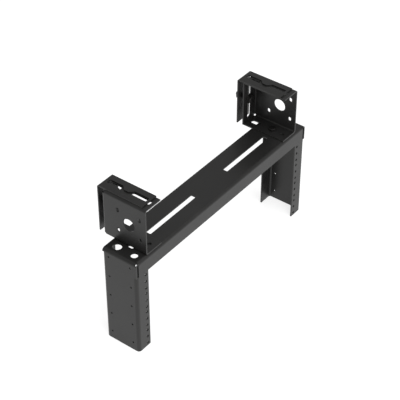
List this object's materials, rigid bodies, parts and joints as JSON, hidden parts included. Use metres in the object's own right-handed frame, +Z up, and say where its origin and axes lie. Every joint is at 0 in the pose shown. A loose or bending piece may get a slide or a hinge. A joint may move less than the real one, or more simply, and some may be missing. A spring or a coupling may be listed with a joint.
{
  "type": "short two post open frame rack",
  "caption": "Short two post open frame rack with a folded crossbeam and slotted clamp brackets for hanging it from an overhead ladder tray.",
  "frame": {"origin": "middle of the whole rack's footprint, at the posts' lower ends", "axes": "X along the crossbeam, Y from the front rail faces to the back, Z up"},
  "size_m": [0.5144, 0.1254, 0.3099],
  "materials": {
    "powder_coated_sheet": "satin black powder coat with a fine texture",
    "black_oxide_fastener": "black oxide steel, slightly worn on the corners"
  },
  "bodies": {
    "root": {"crossbeam": "powder_coated_sheet", "left_bracket": "powder_coated_sheet", "left_clamp_bolt": "black_oxide_fastener", "left_clamp_inner_washer": "black_oxide_fastener", "left_clamp_nut": "black_oxide_fastener", "left_clamp_plate": "powder_coated_sheet", "left_clamp_rear_washer": "black_oxide_fastener", "left_foot_bolt": "black_oxide_fastener", "left_foot_nut": "black_oxide_fastener", "left_foot_washer": "black_oxide_fastener", "left_post": "powder_coated_sheet", "right_bracket": "powder_coated_sheet", "right_clamp_bolt": "black_oxide_fastener", "right_clamp_inner_washer": "black_oxide_fastener", "right_clamp_nut": "black_oxide_fastener", "right_clamp_plate": "powder_coated_sheet", "right_clamp_rear_washer": "black_oxide_fastener", "right_foot_bolt": "black_oxide_fastener", "right_foot_nut": "black_oxide_fastener", "right_foot_washer": "black_oxide_fastener", "right_post": "powder_coated_sheet"}
  },
  "joints": []
}
